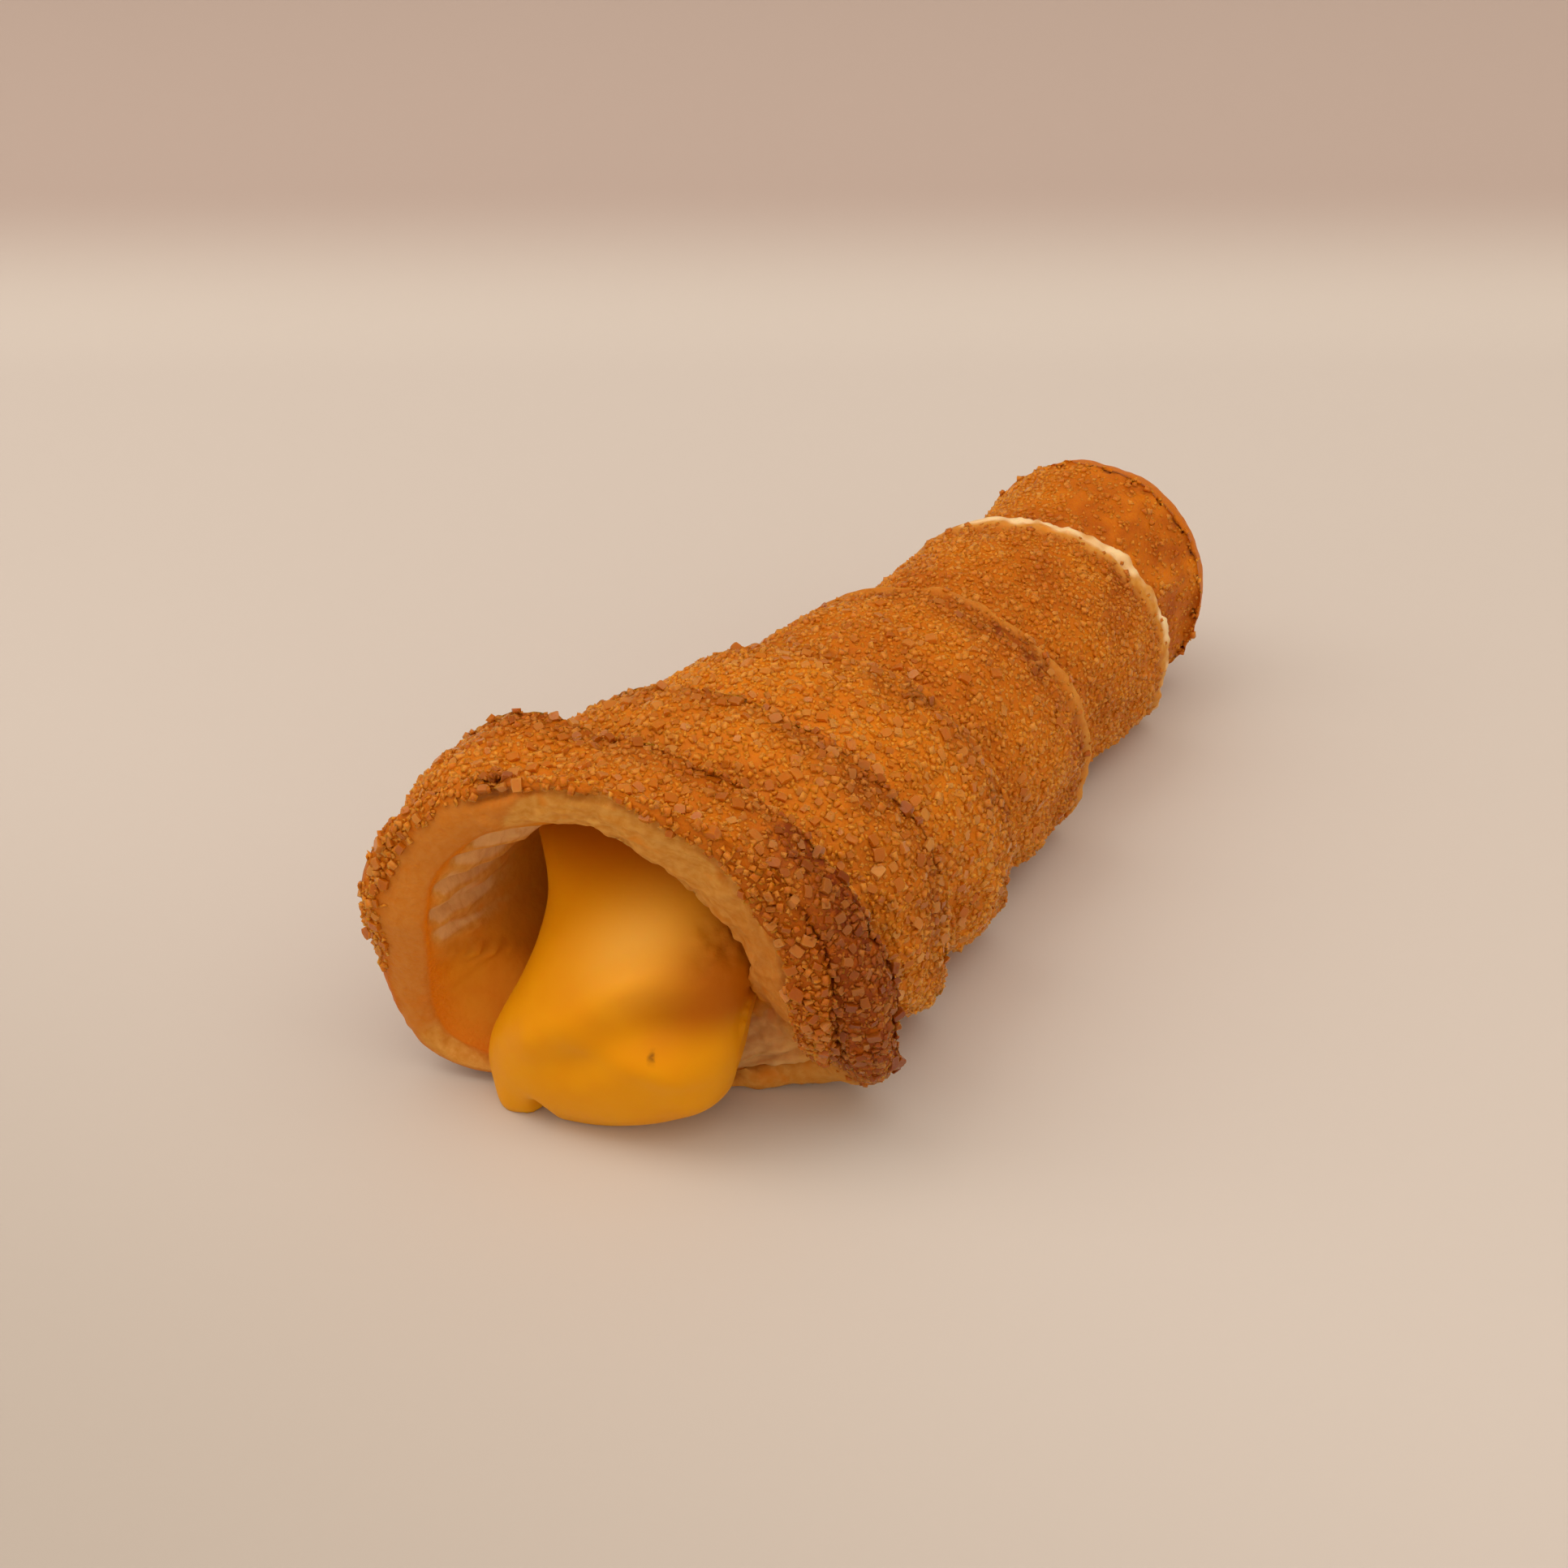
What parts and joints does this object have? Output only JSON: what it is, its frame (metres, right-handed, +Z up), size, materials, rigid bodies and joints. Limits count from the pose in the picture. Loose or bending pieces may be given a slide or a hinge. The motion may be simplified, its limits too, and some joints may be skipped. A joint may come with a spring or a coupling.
{
  "type": "puff pastry cannoli",
  "caption": "Baked horn of helically wound puff pastry lying on its side, open at both ends, with custard running through it and bulging out of the wide mouth.",
  "frame": {"origin": "centre of the bounding box in X and Y, on the table plane that the horn rests on", "axes": "+Z up, +Y along the horn from its wide mouth towards its narrow rear end, +X to the right seen from the mouth"},
  "size_m": [0.04, 0.0998, 0.0343],
  "materials": {
    "pastry": "baked crust with a thin caramel glaze and sugar crystals",
    "custard": "thick set custard, satin"
  },
  "bodies": {
    "root": {"pastry_shell": "pastry", "custard_filling": "custard"}
  },
  "joints": []
}
